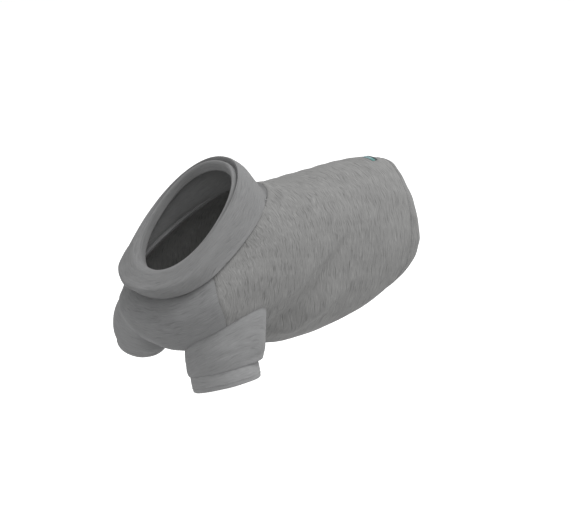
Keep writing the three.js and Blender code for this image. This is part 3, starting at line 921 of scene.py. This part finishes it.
class HOODIE_OT_cuffs(bpy.types.Operator):
    """Sew a doubled band round the end of each sleeve."""

    bl_idname = "hoodie.cuffs"
    bl_label = "Cuffs"

    def execute(self, context):
        garment = Garment(sizes())
        s = sizes()
        material = cloth_material("cuff_cloth", colours().cuff)
        share = runs((0, 0.08, 5), (0.14, 0.9, 22), (0.92, 1, 6))
        angle = full_turn(150)[None]
        turn = angle / DEGREE
        bulge = 0.0011 * np.sin(share * math.pi) ** 0.6
        pucker = 0.00035 * np.sin(turn * 0.42 + 0.9 * np.sin(turn * DEGREE * 3)) * (1 - smooth(0, 0.5, share))
        wave = WAVE / 2 * waves(CUFF_SPAN, share, turn, 8)
        drop = GAP + share * s.cuff_height
        for name, cuff in (("left", LEFT), ("right", RIGHT)):
            outer = garment.cuff_ring(cuff, angle, bulge + pucker + wave, drop)
            inner = garment.cuff_ring(cuff, angle, 0.0008 * np.sin(share * math.pi) - s.cuff_wall, drop)
            band = shell(f"cuff_{name}_cloth", outer, inner, cloth_map(outer, True), True)
            worn(band, f"cuff_{name}", material)
        return {"FINISHED"}


class HOODIE_OT_label(bpy.types.Operator):
    """Sew the plain tab flat on the back, in front of the hem."""

    bl_idname = "hoodie.label"
    bl_label = "Label"

    def execute(self, context):
        garment = Garment(sizes())
        across, along_it = np.linspace(-1, 1, 13)[:, None], np.linspace(-1, 1, 37)[None]
        at, angle = garment.on_label(along_it, across)
        ground, out = garment.body(at, angle), garment.body_facing(at, angle)
        from_edge = np.minimum(smooth(1, 0.8, np.abs(across)), smooth(1, 0.93, np.abs(along_it)))
        outer = ground + out * (LABEL_EDGE + LABEL_MIDDLE * from_edge)[..., None]
        inner = ground + out * LABEL_UNDER
        tape = shell("label_tape", outer, inner, cloth_map(outer, False), False)
        worn(tape, "label_tab", tape_material())
        return {"FINISHED"}


class HOODIE_OT_stitching(bpy.types.Operator):
    """Run rows of small stitches along the hem, the cuffs and the label."""

    bl_idname = "hoodie.stitching"
    bl_label = "Stitching"

    LIFTS = (-0.0003, 0.0002, 0.0002, -0.0003)  # a stitch off the cloth, from end to end
    WIDTHS = (0.00018, 0.00032, 0.00032, 0.00018)  # and half its thickness

    def stitches(self, name, path, out):
        """A row of stitches along a path, each a small rounded bar that dips into the cloth at its ends."""
        def there(spot, rows):
            return np.array([np.interp(spot, run, rows[:, c]) for c in range(3)])

        stitch = sizes().stitch_length
        steps = np.linalg.norm(np.diff(path, axis=0), axis=-1)
        run = np.concatenate([[0], np.cumsum(steps)])
        count = max(int(run[-1] / (stitch * 1.3)), 1)
        points, faces = [], []
        section = [(math.cos(a), math.sin(a)) for a in full_turn(5)]
        for k in range(count):
            middle = (k + 0.5) / count * run[-1]
            spots = [middle + stitch * x for x in (-0.5, -0.28, 0.28, 0.5)]
            base = len(points)
            for spot, lift, wide in zip(spots, self.LIFTS, self.WIDTHS):
                p, n = there(spot, path), unit(there(spot, out))
                side = unit(np.cross(n, there(spot + 1e-4, path) - there(spot - 1e-4, path)))
                points += [p + n * lift + side * x * wide + n * y * wide for x, y in section]
            for r in range(3):
                for j in range(5):
                    a, b = base + r * 5 + j, base + r * 5 + (j + 1) % 5
                    faces.append((a, b, b + 5, a + 5))
            faces.append(tuple(base + j for j in range(4, -1, -1)))
            faces.append(tuple(base + 15 + j for j in range(5)))
        row = new_object(name, points, faces)
        row.data.materials.append(self.thread)
        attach(row, "root")

    def execute(self, context):
        garment = Garment(sizes())
        s = sizes()
        self.thread = thread_material()
        angle = np.linspace(0, 2 * math.pi, 500)
        for k, below in enumerate(HEM_ROWS):
            at = np.full_like(angle, 1 - (s.hem_height - below) / s.back_length)
            self.stitches(f"hem_stitches_{k + 1}", garment.body(at, angle), garment.body_facing(at, angle))
        for name, cuff in (("left", LEFT), ("right", RIGHT)):
            outer = garment.cuff_ring(cuff, angle, CUFF_ROW_OUT, np.full_like(angle, s.cuff_height - CUFF_ROW))
            side = unit(stack(cuff["side"] * np.sin(angle), np.cos(angle), 0 * angle))
            self.stitches(f"cuff_stitches_{name}", outer, side)
        corners = np.array([(-1, -1), (1, -1), (1, 1), (-1, 1), (-1, -1)]) * LABEL_ROW
        way = np.linspace(0, 4, 161)
        at, turn = garment.on_label(*(np.interp(way, range(5), corners[:, c]) for c in range(2)))
        out = garment.body_facing(at, turn)
        self.stitches("label_stitches", garment.body(at, turn) + out * (LABEL_EDGE + LABEL_MIDDLE), out)
        return {"FINISHED"}


class HOODIE_OT_stage(bpy.types.Operator):
    """Set the pale floor, the soft lights and the camera."""

    bl_idname = "hoodie.stage"
    bl_label = "Stage"

    def light(self, name, place, target, size, power):
        """A round soft light."""
        data = bpy.data.lights.new(name, "AREA")
        data.shape, data.size, data.energy = "DISK", size, power
        obj = bpy.data.objects.new(name, data)
        bpy.context.scene.collection.objects.link(obj)
        obj.location = place
        obj.rotation_mode = "QUATERNION"
        obj.rotation_quaternion = (Vector(target) - Vector(place)).to_track_quat("-Z", "Y")

    def execute(self, context):
        scene = context.scene
        nothing_selected()
        bpy.ops.mesh.primitive_plane_add(size=60, location=(0, 0, -0.47))
        floor = context.object
        floor.name = "floor"
        white, _, shader = new_material("pale_floor")
        filled(shader, Base_Color=(0.82, 0.82, 0.82, 1), Roughness=1, Specular_IOR_Level=0,
               Emission_Color=(1, 1, 1, 1), Emission_Strength=0.85)
        floor.data.materials.append(white)
        floor.visible_diffuse = False

        world = bpy.data.worlds.new("studio")
        scene.world = world
        world.use_nodes = True
        tree = world.node_tree
        back = tree.nodes["Background"]
        filled(back, Color=(1, 1, 1, 1))
        path = tree.nodes.new("ShaderNodeLightPath")
        seen = filled(tree.nodes.new("ShaderNodeMapRange"), To_Min=0.5, To_Max=1.0)
        link(tree, path.outputs["Is Camera Ray"], seen.inputs["Value"])
        link(tree, seen.outputs["Result"], back.inputs["Strength"])

        for name, light in LIGHTS.items():
            self.light(name, *light)

        camera = bpy.data.objects.new("camera", bpy.data.cameras.new("camera"))
        scene.collection.objects.link(camera)
        right, up = Vector((0.6947, 0.7193, 0)), Vector((-0.1740, 0.1681, 0.9703))
        ahead = Vector((-0.6980, 0.6740, -0.2419))
        aside, above = (NECK_SEEN[0] - PICTURE[0] / 2) / FOCAL, (PICTURE[1] / 2 - NECK_SEEN[1]) / FOCAL
        camera.location = Vector((0, 0, 0.0026)) - CAMERA_AWAY * (ahead + right * aside + up * above)
        camera.rotation_mode = "QUATERNION"
        camera.rotation_quaternion = Matrix((right, up, -ahead)).transposed().to_quaternion()
        camera.data.sensor_width = 36
        camera.data.lens = 36 * FOCAL / PICTURE[0]
        camera.data.clip_start, camera.data.clip_end = 0.05, 200
        scene.camera = camera
        scene.view_settings.view_transform = "Standard"
        return {"FINISHED"}


class HOODIE_PT_panel(bpy.types.Panel):
    """Sizes, colours and steps of the hoodie."""

    bl_idname = "HOODIE_PT_panel"
    bl_label = "Dog Hoodie"
    bl_space_type = "VIEW_3D"
    bl_region_type = "UI"
    bl_category = "Hoodie"

    def draw(self, context):
        layout = self.layout
        for group in (context.scene.hoodie_sizes, context.scene.hoodie_colours):
            column = layout.column(align=True)
            for name in group.__annotations__:
                column.prop(group, name)
        for step in STEPS:
            layout.operator(step.bl_idname)


STEPS = (
    HOODIE_OT_body, HOODIE_OT_hood, HOODIE_OT_sleeves, HOODIE_OT_cuffs, HOODIE_OT_label, HOODIE_OT_stitching,
    HOODIE_OT_stage,
)
CLASSES = (HoodieSizes, HoodieColours, *STEPS, HOODIE_PT_panel)


def register():
    for cls in CLASSES:
        bpy.utils.register_class(cls)
    bpy.types.Scene.hoodie_sizes = bpy.props.PointerProperty(type=HoodieSizes)
    bpy.types.Scene.hoodie_colours = bpy.props.PointerProperty(type=HoodieColours)


def unregister():
    del bpy.types.Scene.hoodie_sizes, bpy.types.Scene.hoodie_colours
    for cls in reversed(CLASSES):
        bpy.utils.unregister_class(cls)


def main():
    register()
    bpy.ops.hoodie.body()
    bpy.ops.hoodie.hood()
    bpy.ops.hoodie.sleeves()
    bpy.ops.hoodie.cuffs()
    bpy.ops.hoodie.label()
    bpy.ops.hoodie.stitching()
    bpy.ops.hoodie.stage()
    nothing_selected()


if __name__ == "__main__":
    main()
